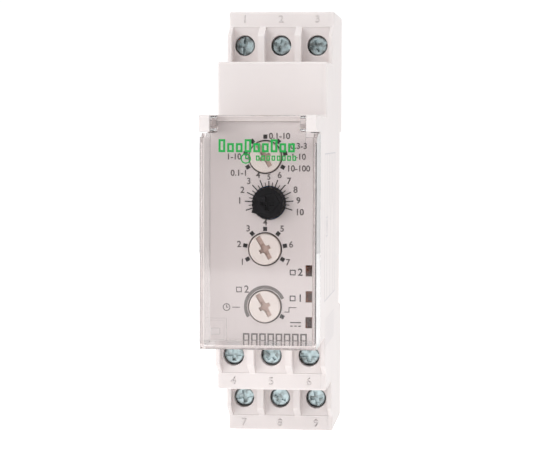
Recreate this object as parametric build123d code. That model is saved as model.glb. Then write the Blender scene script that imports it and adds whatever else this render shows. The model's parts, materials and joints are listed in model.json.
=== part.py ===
from build123d import *
import math
import os
from collections import namedtuple

# A timing relay 22.5 mm wide that clips on a 35 mm rail. Millimetres.
# Frame: +Y points at the panel behind the rail, +Z up, +X to the right as seen from the front.
# Origin: middle of the rail seat. Front faces have negative Y.

# ---- overall shape ----
WIDTH = 22.5
HALF_WIDTH = WIDTH / 2
HALF_HEIGHT = 45.0
NOSE_HALF = 22.5            # the 45 mm nose that shows through a panel cut-out
BLOCK_TOP = 33.65           # top of the blank block above the nose
LEDGE_BOTTOM = -33.8        # underside of the middle terminal row
REAR_Y = 5.0                # back face, above and below the rail
RECESS_Y = -0.6             # floor of the rail recess
RECESS_TOP = 19.3
RECESS_BOTTOM = -19.4
LEVEL_A_Y = -19.8           # marking strips of the top and bottom terminal rows
LEVEL_B_Y = -39.0           # marking strip of the middle row, and the blank block
BAY_WALL_RISE = 3.8         # how far the walls between the screws stand out of the strip
NOSE_Y = -56.5              # rim of the nose and face of the faceplate
WALL = 1.1
BAY_WALL = 0.9              # wall beside the outer screws
SHELL_WALL = 1.2
SEAM_X = HALF_WIDTH - WALL  # joint between the tub and the side cover
CORNER = 0.45
EDGE_ROUND = 0.35
BAY_WALL_SLOPE = 1.9        # run of the sloping end of each wall between the screws
HOLLOW_REAR_Y = -1.8        # the hollow that holds the boards
HOLLOW_FOOT_Y = -20.4
HOLLOW_STEP_Y = -36.3
HOLLOW_STEP_Z = -22.4
PEG_PLACES = ((2.6, 41.0), (2.6, -41.0), (-45.0, 19.2), (-45.0, -19.2))     # Y and Z of each peg
PEG_RADIUS = 0.9
PEG_LENGTH = 2.6
PEG_CLEARANCE = 0.05
PEG_BOSS_WALL = 1.0

# ---- front cover and its hinge ----
COVER_FRONT_Y = -67.0
COVER_PLATE = 1.2
COVER_SKIRT = 0.8
COVER_GAP = 0.15
COVER_ROUND = 0.5
PIVOT_Y = -65.4
PIVOT_Z = 20.9
PIN_RADIUS = 0.8
PIN_CLEARANCE = 0.05
LUG_WIDTH = 1.95
LUG_FRONT_Y = -67.6
LUG_BOTTOM = 19.3
LUG_ROUND = 0.9
NOTCH_BOTTOM = 17.2         # the cover's corners are set back above this, beside the lugs
NOTCH_DEPTH = 0.7
LUG_SWING = 2.75            # nothing of the cover comes nearer to the pivot beside a lug
CANOPY_Y = -62.8
PIN_REACH = 1.4
HINGE_ARM = 1.1
HINGE_ARM_RADIUS = 1.5
SEAL_X = (-10.1, -6.1)      # raised outline round the sealing slot
SEAL_Z = (-21.1, -16.5)
SEAL_RIM = 0.45
SEAL_RISE = 0.5
SEAL_SLOT_X = (-9.0, -7.3)
SEAL_SLOT_Z = (-19.6, -18.4)

# ---- faceplate, knobs and lamps ----
PLATE_THICK = 1.5
PLATE_HALF_X = 10.75
PLATE_HALF_Z = 22.0
PLATE_GAP = 0.05
KNOB_RADIUS = 3.1
KNOB_GAP = 0.25
KNOB_BACK_Y = -54.4
KNOB_FACE_Y = -57.1
DIAL_FACE_Y = -59.6
STEM_RADIUS = 1.4
STEM_CLEARANCE = 0.05
STEM_END_Y = -51.1
SWITCH_SIZE = 7.6
SWITCH_FRONT_Y = -53.6
KNOB_X = 0.4
RANGE_Z = 14.4
DIAL_X = 1.15
DIAL_Z = 5.4
FUNCTION_Z = -3.7
OUTPUT_Z = -15.0
SELECTOR_ANGLE = 120.0      # where the white knobs point, anticlockwise from +X seen from the front
DIAL_ANGLE = 210.0
DIAL_FLUTES = 24
LAMP_X = 9.06
LAMP_WIDTH = 1.25
LAMP_HEIGHT = 2.15
LAMP_Z = (-7.9, -13.0, -18.1)

# ---- marks on the knobs; the knob's middle is at zero, and +X is where it points ----
POINTER_RUN = (-0.8, 2.8)   # the white knobs' slot: ends, half width, depth
POINTER_HALF = 0.5
POINTER_DEPTH = 0.45
TAIL_RUN = (-2.1, -0.1)
TAIL_HALF = 0.45
TAIL_DEPTH = 0.35
CROSS_LENGTH = 2.3
CROSS_WIDTH = 0.75
CROSS_DEPTH = 0.75
KNOB_ROUND = 0.3
GRIP_BACK_Y = -56.85
DIAL_ROUND = 0.25
FLUTE_RADIUS = 0.24
FLUTE_CIRCLE = 3.2          # radius that the flutes' axes lie on
NIB = ((0, -1.5), (0, 1.5), (2.6, 1.1), (3.75, 0), (2.6, -1.1))
NIB_THICK = 1.6
ARROW = ((3.3, 0), (0.6, 1.9), (-2.2, 1.2), (-2.2, -1.2), (0.6, -1.9))
ARROW_RISE = 0.25
DIAL_CROSS = (2.6, 0.7, 0.8)        # length, width and depth

# ---- boards ----
BOARD = 1.6
CONTROL_BACK_Y = -49.0
CONTROL_FRONT_Y = CONTROL_BACK_Y - BOARD
MAIN_LEFT_X = -9.2
MAIN_FACE_X = MAIN_LEFT_X + BOARD
CONTROL_HALF_X = 9.9
CONTROL_HALF_Z = 20.8
MAIN_BOARD = (              # Y and Z of each corner
    (-48.8, 16.5), (-37.0, 16.5), (-37.0, 31.8), (-3.0, 31.8), (-3.0, -31.9),
    (-20.0, -31.9), (-20.0, -21.2), (-35.8, -21.2), (-35.8, -16.5), (-48.8, -16.5),
)
LAMP_CHIP = (1.0, 0.7, 1.6)         # sizes along X, Y and Z
GUIDE_SPINE = (0.6, 1.4)            # front and back of the strip, behind the faceplate
HEADER_SIZE = (2.5, 2.5, 17.8)
PIN_PITCH = 2.54
PIN_STEPS = range(-3, 4)
PIN_THICK = 0.6
CHIP_CENTRE = (4.0, -10.0)          # X and Z
CHIP_SIZE = 6.0
CHIP_STAND = 0.15
CHIP_THICK = 1.05
LEG_PITCH = 0.8
LEG_WIDTH = 0.3
LEG_THICK = 0.4
LEG_REACH = 0.8
RESISTOR_COLUMNS = (-3.0, -0.6, 1.8, 4.2)
RESISTOR_LINES = (6.0, 9.0, 12.0)
RESISTOR_SIZE = (1.2, 0.5, 2.0)

# ---- supply parts on the main board; heights are from its face ----
CAN_YZ = (-30.0, -9.5)
CAN_RADIUS = 5.0
CAN_HEIGHT = 12.5
CAN_GROOVE = (1.6, 2.2)
CAN_GROOVE_DEEP = 0.3
FILM_HEIGHT = 13.0
FILM_Y = (-22.0, -15.0)
FILM_Z = (-17.0, 0.5)
FILM_ROUND = 0.6
DISC_Y = (-17.0, -13.4)
DISC_XZ = (-1.6, -24.6)
DISC_RADIUS = 4.6
DISC_ROUND = 1.0
DISC_LEGS_Z = (-26.6, -22.6)
DISC_LEG_RADIUS = 0.4
CORE_HEIGHT = 12.0
CORE_Y = (-12.6, -4.0)
CORE_Z = (-18.0, -5.0)
CORE_BAR = 2.4
CORE_LIMB = 2.0
WINDING_RADIUS = 3.9

# ---- terminals ----
PITCH = 7.8
ROW_SHIFT = -0.15           # the rows stand a little left of the middle
HEAD_RADIUS = 2.0
HEAD_DROP = 1.6             # screw head behind the strip
HEAD_THICK = 1.6
SHANK_RADIUS = 1.45
THREAD_CLEARANCE = 0.05
HEAD_HOLE = 0.2             # gap round the head
HEAD_ROUND = 0.35
SHANK_HOLE = 0.3            # gap round the shank
SHELF_DROP = 3.4
CHAMBER_TOP = 5.0
CHAMBER_DEPTH = 17.4
CHAMBER_HALF_X = 2.7
CHAMBER_HALF_Z = 3.1
CLAMP_HALF_X = 2.55
CLAMP_HALF_Z = 2.8
CLAMP_SIDE = 0.55
CLAMP_FRONT = 8.9           # clamp lowered, ready for a wire; all measured from the strip
CLAMP_FRONT_THICK = 1.4
CLAMP_REAR = 15.8
CLAMP_REAR_THICK = 0.9
BAR_FRONT = 10.6
BAR_THICK = 0.8
BAR_HALF_X = 1.9
BAR_OUT = 2.7               # the bar's outer end, from the screw axis
BAR_NECK = 5.2              # where it narrows, inward of the screw axis
BAR_SLOT_GAP = 0.1
BAR_SLOT_REACH = 6.5
STRAP_START = 1.6
STRAP_WIDTH = 1.0
TAB_HALF_X = 0.7
STRAP_STEP = 2.0
ENTRY_HALF = 2.3
ENTRY_FLARE = 0.55
ENTRY_FLARE_DEEP = 1.6
SCREW_SLOT = (0.75, 0.65)   # width and depth
SCREW_CROSS = (0.85, 2.7, 1.1)      # width, length and depth
CLAMP_ROUND = 0.4
DIVIDER = 1.4               # wall between two screws

# ---- rail hook and latch ----
HOOK_HALF_X = 8.0
RAIL_HALF = 17.5            # half the height of a 35 mm rail
RAIL_PLAY = 0.2
LIP_REACH = 15.4            # lips end this far from the middle
LIP_FRONT_Y = 1.4
LIP_REAR_Y = 3.8
HOOK_SLOPE = (0.6, 0.8)
SEAT_HALF_Z = 14.0
SEAT_HALF_X = 10.0
LATCH_HALF_X = 5.0
LATCH_FRONT_Y = 1.4
LATCH_REAR_Y = 4.0
LATCH_PLAY = 0.3
LATCH_BOTTOM = -44.6
POST_BOTTOM = -36.0
POST_TOP = -34.8
WINDOW_BOTTOM = -36.3
WINDOW_TOP = -27.0
SPRING_COIL = 1.0
SPRING_WIRE = 0.22
SPRING_TURNS = 7
LIP_SLOPE = (1.4, 1.6)      # the sloped end that the rail's edge pushes on, along Y and Z
WINDOW_HALF = 2.2
POST_HALF = 1.5
TOOL_HALF = 2.4             # slot for a screwdriver at the latch's foot
TOOL_RISE = (1.2, 3.2)      # from the latch's end

# ---- relays: along each from its contact end, and in height from the board ----
RELAY_LENGTH = 29.0
RELAY_WIDTH = 12.7
RELAY_HEIGHT = 15.7
RELAY_CASE_WALL = 0.8
RELAY_LOW_Z = 2.5
RELAY_Y = {"1": -29.9, "2": -16.6}
ARMATURE_PIVOT_A = 9.45     # along the relay from its contact end
ARMATURE_PIVOT_H = 12.7     # above the board
ARMATURE_BEAD = 0.5         # radius of the edge that rocks against the yoke
COIL_HEIGHT = 6.8           # coil axis above the board
CORE_RADIUS = 2.2
POLE_RADIUS = 3.2
POLE_ALONG = (10.2, 11.0)
CASE_ROUND = 0.5
BASE_THICK = 1.5
COIL_RADIUS = 4.3
COIL_ALONG = (12.2, 25.2)
FLANGE_THICK = 0.8
FLANGE_RISE = (1.7, 11.9)
FLANGE_HALF = 4.9
YOKE_ALONG = (10.0, 27.4)
YOKE_RISE = (1.7, 13.4)
YOKE_THICK = 1.2
YOKE_HALF = 4.2
ARMATURE_ALONG = (8.7, 9.6)
ARMATURE_FOOT = 2.2
ARMATURE_HALF = 4.0
LEAF_ALONG = (5.2, 5.5)
LEAF_RISE = (2.4, 11.0)
LEAF_HALF = 1.6
CARD_RISE = (8.6, 10.2)
CARD_HALF = 2.4
CONTACT_RADIUS = 1.2
CONTACT_HEIGHT = 4.0
LEAF_CONTACT = (4.9, 5.8)
FIXED_CONTACTS = (((4.1, 4.5), (4.4, 4.84)), ((6.9, 7.3), (6.4, 7.0)))     # each one's strip and tip
STRIP_RISE = (1.5, 6.0)
STRIP_HALF = 2.0

Row = namedtuple("Row", "name side strip_y axis_z bay_start bay_end face turns")
ROWS = (
    Row("top", 1, LEVEL_A_Y, 37.8, BLOCK_TOP, 41.7, HALF_HEIGHT, (85, -15, 20)),
    Row("bottom", -1, LEVEL_A_Y, -38.0, LEDGE_BOTTOM, -41.8, -HALF_HEIGHT, (8, 62, 100)),
    Row("middle", -1, LEVEL_B_Y, -26.7, -NOSE_HALF, -30.35, LEDGE_BOTTOM, (0, 42, -3)),
)


def block(x, y, z):
    """A box from three (low, high) pairs."""
    spans = [sorted(pair) for pair in (x, y, z)]
    size = [high - low for low, high in spans]
    middle = [(high + low) / 2 for low, high in spans]
    return Pos(*middle) * Box(*size)


def rod(axis, radius, along, first, second):
    """A round bar along one axis; first and second are its other two coordinates in X, Y, Z order."""
    low, high = sorted(along)
    middle = (low + high) / 2
    bar = Cylinder(radius, high - low)
    if axis == "x":
        return Pos(middle, first, second) * Rot(0, 90, 0) * bar
    if axis == "y":
        return Pos(first, middle, second) * Rot(90, 0, 0) * bar
    return Pos(first, second, middle) * bar


def profile_plate(points, x, corner=0.0):
    """A plate in the YZ plane, from (y, z) corners, between two X values."""
    face = make_face(Polyline(*points, close=True))
    if corner:
        face = fillet(face.vertices(), corner)
    low, high = sorted(x)
    return Pos(low, 0, 0) * extrude(Plane.YZ * face, amount=high - low)


def write(name, shape):
    """Save one sub-part."""
    export_step(shape, f"parts/{name}.step")


def columns():
    """The three screw positions of a row, left to right."""
    return [ROW_SHIFT + step * PITCH for step in (-1, 0, 1)]


# ---- casing ----

def side_profile():
    """Outline of the casing seen from the side."""
    wall_a = LEVEL_A_Y - BAY_WALL_RISE
    wall_b = LEVEL_B_Y - BAY_WALL_RISE
    top, bottom, middle = ROWS
    return [
        (REAR_Y, HALF_HEIGHT),
        (REAR_Y, RECESS_TOP),
        (RECESS_Y, RECESS_TOP),
        (RECESS_Y, RECESS_BOTTOM),
        (REAR_Y, RECESS_BOTTOM),
        (REAR_Y, -HALF_HEIGHT),
        (LEVEL_A_Y, -HALF_HEIGHT),
        (LEVEL_A_Y, bottom.bay_end),
        (wall_a, bottom.bay_end + BAY_WALL_SLOPE),
        (wall_a, LEDGE_BOTTOM),
        (LEVEL_B_Y, LEDGE_BOTTOM),
        (LEVEL_B_Y, middle.bay_end),
        (wall_b, middle.bay_end + BAY_WALL_SLOPE),
        (wall_b, -NOSE_HALF),
        (NOSE_Y, -NOSE_HALF),
        (NOSE_Y, NOSE_HALF),
        (LEVEL_B_Y, NOSE_HALF),
        (LEVEL_B_Y, BLOCK_TOP),
        (wall_a, BLOCK_TOP),
        (wall_a, top.bay_end - BAY_WALL_SLOPE),
        (LEVEL_A_Y, top.bay_end),
        (LEVEL_A_Y, HALF_HEIGHT),
    ]


def inner_profile():
    """Outline of the hollow that holds the boards."""
    nose = NOSE_HALF - SHELL_WALL
    front = NOSE_Y + PLATE_THICK
    return [
        (front, nose),
        (LEVEL_B_Y + SHELL_WALL, nose),
        (LEVEL_B_Y + SHELL_WALL, BLOCK_TOP - SHELL_WALL),
        (HOLLOW_REAR_Y, BLOCK_TOP - SHELL_WALL),
        (HOLLOW_REAR_Y, LEDGE_BOTTOM + SHELL_WALL),
        (HOLLOW_FOOT_Y, LEDGE_BOTTOM + SHELL_WALL),
        (HOLLOW_FOOT_Y, HOLLOW_STEP_Z),
        (HOLLOW_STEP_Y, HOLLOW_STEP_Z),
        (HOLLOW_STEP_Y, -nose),
        (front, -nose),
    ]


def terminal_cuts(row, x):
    """Everything that is open in the casing for one terminal: bay, screw hole, chamber, wire way."""
    s = row.strip_y
    edge = PITCH / 2 - DIVIDER / 2
    wall = HALF_WIDTH - BAY_WALL
    low = -wall if x < -edge else x - edge
    high = wall if x > edge else x + edge
    bay = block((low, high), (s - 2 * BAY_WALL_RISE, s), (row.bay_start, row.bay_end))
    head = rod("y", HEAD_RADIUS + HEAD_HOLE, (s - 1, s + SHELF_DROP), x, row.axis_z)
    shank = rod("y", SHANK_RADIUS + SHANK_HOLE, (s, s + CHAMBER_TOP + 1), x, row.axis_z)
    chamber_x = (x - CHAMBER_HALF_X, x + CHAMBER_HALF_X)
    chamber_z = (row.axis_z - CHAMBER_HALF_Z, row.axis_z + CHAMBER_HALF_Z)
    chamber = block(chamber_x, (s + CHAMBER_TOP, s + CHAMBER_DEPTH), chamber_z)
    bar_front = s + BAR_FRONT
    gap = BAR_SLOT_GAP
    bar_x = (x - BAR_HALF_X - gap, x + BAR_HALF_X + gap)
    inward = row.axis_z - row.side * BAR_SLOT_REACH
    slot = block(bar_x, (bar_front - gap, bar_front + BAR_THICK + gap), (row.axis_z, inward))
    return bay + head + shank + chamber + slot + wire_way(row, x)


def wire_way(row, x):
    """The flared square hole that a wire goes through, from the end face into the chamber."""
    middle_y = row.strip_y + (BAR_FRONT + BAR_THICK + CLAMP_REAR) / 2
    straight = block(
        (x - ENTRY_HALF, x + ENTRY_HALF),
        (middle_y - ENTRY_HALF, middle_y + ENTRY_HALF),
        (row.axis_z, row.face + row.side),
    )
    mouth = 2 * (ENTRY_HALF + ENTRY_FLARE)
    throat = 2 * ENTRY_HALF
    inner = Pos(x, middle_y, row.face - row.side * ENTRY_FLARE_DEEP) * Rectangle(throat, throat)
    outer = Pos(x, middle_y, row.face + row.side * 0.01) * Rectangle(mouth, mouth)
    return straight + loft([inner, outer])


def all_terminal_cuts():
    """The cuts of the nine terminals."""
    return [terminal_cuts(row, x) for row in ROWS for x in columns()]


def lug(x):
    """One hinge lug, standing forward from a top corner of the nose."""
    points = [
        (NOSE_Y + 1.0, LUG_BOTTOM),
        (LUG_FRONT_Y, LUG_BOTTOM),
        (LUG_FRONT_Y, NOSE_HALF),
        (NOSE_Y + 1.0, NOSE_HALF),
    ]
    body = profile_plate(points, x, LUG_ROUND)
    inner = min(x, key=abs)
    sign = math.copysign(1, inner)
    body -= block((inner, sign * SEAM_X), (NOSE_Y, NOSE_Y + 2), (LUG_BOTTOM - 1, NOSE_HALF + 1))
    hole = rod("x", PIN_RADIUS + PIN_CLEARANCE, (inner - sign, inner + sign * (PIN_REACH + 0.1)), PIVOT_Y, PIVOT_Z)
    return body - hole


def plate_rabbet():
    """The step in the nose walls that the faceplate drops into."""
    gap = PLATE_GAP
    deep = (NOSE_Y - 1, NOSE_Y + PLATE_THICK)
    between_lugs = HALF_WIDTH - LUG_WIDTH - gap
    wide = block((-PLATE_HALF_X - gap, PLATE_HALF_X + gap), deep, (-PLATE_HALF_Z - gap, LUG_BOTTOM - gap))
    return wide + block((-between_lugs, between_lugs), deep, (0, NOSE_HALF - SHELL_WALL))


def rail_hook():
    """The fixed hook that hangs over the rail's upper edge."""
    root = block((-HOOK_HALF_X, HOOK_HALF_X), (RECESS_Y, LIP_REAR_Y), (RAIL_HALF + RAIL_PLAY, RECESS_TOP + 0.5))
    lip = profile_plate(
        [
            (LIP_FRONT_Y, RAIL_HALF + RAIL_PLAY + 0.1),
            (LIP_FRONT_Y, LIP_REACH + HOOK_SLOPE[1]),
            (LIP_FRONT_Y + HOOK_SLOPE[0], LIP_REACH),
            (LIP_REAR_Y, LIP_REACH),
            (LIP_REAR_Y, RAIL_HALF + RAIL_PLAY + 0.1),
        ],
        (-HOOK_HALF_X, HOOK_HALF_X),
    )
    return root + lip


def main_housing():
    """The tub: left wall and all the walls round it, open on the right."""
    tub = profile_plate(side_profile(), (-HALF_WIDTH, SEAM_X), CORNER)
    outer_edges = tub.faces().sort_by(Axis.X)[0].edges()
    tub = fillet(outer_edges, EDGE_ROUND)
    tub -= profile_plate(inner_profile(), (-SEAM_X, SEAM_X + 1))
    tub -= plate_rabbet()
    tub += block((-SEAT_HALF_X, SEAM_X), (RECESS_Y - 0.2, 0), (-SEAT_HALF_Z, SEAT_HALF_Z))
    tub += rail_hook()
    tub += block((-HALF_WIDTH + EDGE_ROUND, HALF_WIDTH - LUG_WIDTH - 0.1), (CANOPY_Y, NOSE_Y + 0.3),
                 (NOSE_HALF - SHELL_WALL, NOSE_HALF - 0.02))
    tub += lug((-HALF_WIDTH, LUG_WIDTH - HALF_WIDTH))
    for y, z in PEG_PLACES[2:]:
        tub += rod("x", PEG_RADIUS + PEG_BOSS_WALL, (-SEAM_X, SEAM_X), y, z)
    for y, z in PEG_PLACES:
        tub -= rod("x", PEG_RADIUS + PEG_CLEARANCE, (SEAM_X - PEG_LENGTH - 0.2, SEAM_X + 1), y, z)
    for cut in all_terminal_cuts():
        tub -= cut
    play = LATCH_PLAY
    tub -= block(
        (-LATCH_HALF_X - play, LATCH_HALF_X + play),
        (LATCH_FRONT_Y - play, LATCH_REAR_Y + play),
        (-HALF_HEIGHT - 1, RECESS_BOTTOM + 1),
    )
    post_y = (LATCH_FRONT_Y - play, LATCH_REAR_Y + play)
    tub += block((-POST_HALF, POST_HALF), post_y, (POST_BOTTOM, POST_TOP))
    return tub


def side_cover():
    """The right-hand wall, with its lug and the pegs that hold it in the tub."""
    wall = profile_plate(side_profile(), (SEAM_X, HALF_WIDTH), CORNER)
    outer_edges = wall.faces().sort_by(Axis.X)[-1].edges()
    wall = fillet(outer_edges, EDGE_ROUND)
    wall -= plate_rabbet()
    wall += lug((HALF_WIDTH - LUG_WIDTH, HALF_WIDTH))
    for cut in all_terminal_cuts():
        wall -= cut
    for y, z in PEG_PLACES:
        wall += rod("x", PEG_RADIUS, (SEAM_X - PEG_LENGTH, SEAM_X + 0.2), y, z)
    return wall


# ---- front ----

def front_cover():
    """The clear cover: a plate with a skirt round three sides, hung on two pins in the lugs."""
    back = NOSE_Y - COVER_GAP
    shell = block((-HALF_WIDTH, HALF_WIDTH), (COVER_FRONT_Y, back), (-NOSE_HALF, NOSE_HALF))
    front_edges = shell.faces().sort_by(Axis.Y)[0].edges()
    shell = fillet(front_edges, COVER_ROUND)
    inner_x = HALF_WIDTH - COVER_SKIRT
    shell -= block(
        (-inner_x, inner_x),
        (COVER_FRONT_Y + COVER_PLATE, back + 1),
        (-NOSE_HALF + COVER_SKIRT, NOSE_HALF + 1),
    )
    clear_x = HALF_WIDTH - LUG_WIDTH - COVER_GAP
    for sign in (-1, 1):
        outside = (sign * clear_x, sign * (HALF_WIDTH + 1))
        shell -= block(outside, (COVER_FRONT_Y - 1, COVER_FRONT_Y + NOTCH_DEPTH), (NOTCH_BOTTOM, NOSE_HALF))
        shell -= block(outside, (COVER_FRONT_Y - 1, back + 1), (LUG_BOTTOM - 0.3, NOSE_HALF + 1))
        shell -= rod("x", LUG_SWING, outside, PIVOT_Y, PIVOT_Z)
        arm = (sign * clear_x, sign * (clear_x - HINGE_ARM))
        shell += rod("x", HINGE_ARM_RADIUS, arm, PIVOT_Y, PIVOT_Z)
        root = (PIVOT_Z - HINGE_ARM_RADIUS, NOSE_HALF - 0.3)
        shell += block(arm, (COVER_FRONT_Y + COVER_ROUND, PIVOT_Y), root)
        pin_end = HALF_WIDTH - LUG_WIDTH + PIN_REACH
        shell += rod("x", PIN_RADIUS, (sign * (clear_x - 0.2), sign * pin_end), PIVOT_Y, PIVOT_Z)
    return shell + seal_frame() - seal_hole()


def seal_frame():
    """The raised outline round the sealing window, on the cover's inside face."""
    inside = COVER_FRONT_Y + COVER_PLATE
    y = (inside - 0.1, inside + SEAL_RISE)
    outer = block(SEAL_X, y, SEAL_Z)
    inner = block(
        (SEAL_X[0] + SEAL_RIM, SEAL_X[1] - SEAL_RIM),
        (y[0] - 1, y[1] + 1),
        (SEAL_Z[0] + SEAL_RIM, SEAL_Z[1] - SEAL_RIM),
    )
    return outer - inner


def seal_hole():
    """The slot that a sealing wire goes through."""
    return block(SEAL_SLOT_X, (COVER_FRONT_Y - 1, COVER_FRONT_Y + COVER_PLATE + 1), SEAL_SLOT_Z)


def knob_places():
    """Centre of each knob on the faceplate."""
    return {
        "range": (KNOB_X, RANGE_Z),
        "time": (DIAL_X, DIAL_Z),
        "function": (KNOB_X, FUNCTION_Z),
        "output": (KNOB_X, OUTPUT_Z),
    }


def faceplate():
    """The printed panel, with holes for the knobs and windows for the lamps."""
    thick = (NOSE_Y, NOSE_Y + PLATE_THICK)
    plate = block((-PLATE_HALF_X, PLATE_HALF_X), thick, (-PLATE_HALF_Z, LUG_BOTTOM - 3 * PLATE_GAP))
    between_lugs = HALF_WIDTH - LUG_WIDTH - 2 * PLATE_GAP
    plate += block((-between_lugs, between_lugs), thick, (0, NOSE_HALF - SHELL_WALL - PLATE_GAP))
    through = (NOSE_Y - 1, NOSE_Y + PLATE_THICK + 1)
    for x, z in knob_places().values():
        plate -= rod("y", KNOB_RADIUS + KNOB_GAP, through, x, z)
    for z in LAMP_Z:
        plate -= lamp_bar(z, through, 0.03)
    return plate


def lamp_bar(z, y, extra=0.0):
    """A bar with the section of a lamp window."""
    half_x = LAMP_WIDTH / 2 + extra
    half_z = LAMP_HEIGHT / 2 + extra
    return block((LAMP_X - half_x, LAMP_X + half_x), y, (z - half_z, z + half_z))


def light_guides():
    """Three clear bars from the lamps to the faceplate, on a thin common strip."""
    back = CONTROL_FRONT_Y - LAMP_CHIP[1] - 0.1
    bars = [lamp_bar(z, (NOSE_Y + 0.1, back)) for z in LAMP_Z]
    behind_plate = NOSE_Y + PLATE_THICK
    spine = block(
        (LAMP_X - LAMP_WIDTH / 2, LAMP_X + LAMP_WIDTH / 2),
        (behind_plate + GUIDE_SPINE[0], behind_plate + GUIDE_SPINE[1]),
        (min(LAMP_Z), max(LAMP_Z)),
    )
    return bars[0] + bars[1] + bars[2] + spine


def lamps():
    """Three chip lamps on the control board."""
    wide, thick, tall = LAMP_CHIP
    y = CONTROL_FRONT_Y - thick / 2
    chips = [Pos(LAMP_X, y, z) * Box(wide, thick, tall) for z in LAMP_Z]
    return Compound(children=chips)


def driver_recess():
    """The slot and cross in a white knob, pointing along +X."""
    cross = Box(CROSS_LENGTH, CROSS_WIDTH, 2 * CROSS_DEPTH) + Box(CROSS_WIDTH, CROSS_LENGTH, 2 * CROSS_DEPTH)
    hub = Cylinder(CROSS_WIDTH, 2 * CROSS_DEPTH)
    pointer = block(POINTER_RUN, (-POINTER_HALF, POINTER_HALF), (-POINTER_DEPTH, POINTER_DEPTH))
    tail = block(TAIL_RUN, (-TAIL_HALF, TAIL_HALF), (-TAIL_DEPTH, TAIL_DEPTH))
    return cross + hub + pointer + tail


def on_knob(x, y, z, angle):
    """Where a flat drawing lies on a knob, turned to point the way the knob does."""
    return Pos(x, y, z) * Rot(90, 0, 0) * Rot(0, 0, angle)


def selector_knob(x, z):
    """A white selector knob with its stem."""
    body = rod("y", KNOB_RADIUS, (KNOB_FACE_Y, KNOB_BACK_Y), x, z)
    rim = body.edges().filter_by(GeomType.CIRCLE).sort_by(Axis.Y)[0]
    body = fillet(rim, KNOB_ROUND)
    stem = rod("y", STEM_RADIUS, (KNOB_BACK_Y - 0.1, STEM_END_Y), x, z)
    return body + stem - on_knob(x, KNOB_FACE_Y, z, SELECTOR_ANGLE) * driver_recess()


def time_knob():
    """The black fluted dial knob with its pointer nib and arrow-shaped top."""
    x, z = DIAL_X, DIAL_Z
    body = rod("y", KNOB_RADIUS, (DIAL_FACE_Y, KNOB_BACK_Y), x, z)
    rim = body.edges().filter_by(GeomType.CIRCLE).sort_by(Axis.Y)[0]
    body = fillet(rim, DIAL_ROUND)
    for index in range(DIAL_FLUTES):
        angle = 2 * math.pi * index / DIAL_FLUTES
        flute_x = x + FLUTE_CIRCLE * math.cos(angle)
        flute_z = z + FLUTE_CIRCLE * math.sin(angle)
        body -= rod("y", FLUTE_RADIUS, (DIAL_FACE_Y - 1, GRIP_BACK_Y), flute_x, flute_z)
    nib = extrude(make_face(Polyline(*NIB, close=True)), amount=NIB_THICK)
    body += on_knob(x, GRIP_BACK_Y, z, DIAL_ANGLE) * nib
    sunk = 0.05
    arrow = extrude(make_face(Polyline(*ARROW, close=True)), amount=ARROW_RISE + sunk)
    body += on_knob(x, DIAL_FACE_Y + sunk, z, DIAL_ANGLE) * arrow
    length, width, depth = DIAL_CROSS
    cross = Box(length, width, 2 * depth) + Box(width, length, 2 * depth)
    body -= on_knob(x, DIAL_FACE_Y, z, 0) * cross
    return body + rod("y", STEM_RADIUS, (KNOB_BACK_Y - 0.1, STEM_END_Y), x, z)


def switch_body(x, z):
    """The square body that a knob's stem turns in."""
    half = SWITCH_SIZE / 2
    body = block((x - half, x + half), (SWITCH_FRONT_Y, CONTROL_FRONT_Y), (z - half, z + half))
    return body - rod("y", STEM_RADIUS + STEM_CLEARANCE, (SWITCH_FRONT_Y - 1, STEM_END_Y + 0.2), x, z)


def selector_switches():
    """The three rotary switch bodies."""
    places = knob_places()
    return Compound(children=[switch_body(*places[name]) for name in ("range", "function", "output")])


# ---- boards and parts on them ----

def control_board():
    """The upright board behind the faceplate."""
    z = (-CONTROL_HALF_Z, CONTROL_HALF_Z)
    return block((-CONTROL_HALF_X, CONTROL_HALF_X), (CONTROL_FRONT_Y, CONTROL_BACK_Y), z)


def main_board():
    """The board along the left wall, cut to fit round the terminals."""
    return profile_plate(MAIN_BOARD, (MAIN_LEFT_X, MAIN_FACE_X))


def on_main_board(height):
    """The X span of a part that stands on the main board."""
    return (MAIN_FACE_X, MAIN_FACE_X + height)


def board_header():
    """The angled pin header that joins the two boards."""
    wide, deep, tall = HEADER_SIZE
    front = CONTROL_BACK_Y + 0.1
    header = block(on_main_board(wide), (front, front + deep), (-tall / 2, tall / 2))
    for step in PIN_STEPS:
        pin_x = MAIN_FACE_X + wide / 2
        header += Pos(pin_x, CONTROL_BACK_Y + PIN_THICK / 2, PIN_PITCH * step) * Box(PIN_THICK, PIN_THICK, PIN_THICK)
    return header


def microcontroller():
    """The control chip on the back of the control board, with its legs."""
    x, z = CHIP_CENTRE
    y = CONTROL_BACK_Y + CHIP_STAND + CHIP_THICK / 2
    chip = Pos(x, y, z) * Box(CHIP_SIZE, CHIP_THICK, CHIP_SIZE)
    span = CHIP_SIZE + 2 * LEG_REACH
    for step in PIN_STEPS:
        chip += Pos(x, CONTROL_BACK_Y + LEG_THICK / 2, z + LEG_PITCH * step) * Box(span, LEG_THICK, LEG_WIDTH)
    return chip


def chip_resistors():
    """Small chips on the back of the control board."""
    wide, thick, tall = RESISTOR_SIZE
    y = CONTROL_BACK_Y + thick / 2
    chips = [Pos(x, y, z) * Box(wide, thick, tall) for x in RESISTOR_COLUMNS for z in RESISTOR_LINES]
    return Compound(children=chips)


def smoothing_capacitor():
    """A can capacitor standing on the main board, with the groove near its base."""
    can = rod("x", CAN_RADIUS, on_main_board(CAN_HEIGHT), *CAN_YZ)
    groove = (MAIN_FACE_X + CAN_GROOVE[0], MAIN_FACE_X + CAN_GROOVE[1])
    ring = rod("x", CAN_RADIUS + 1, groove, *CAN_YZ) - rod("x", CAN_RADIUS - CAN_GROOVE_DEEP, groove, *CAN_YZ)
    return can - ring


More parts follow.
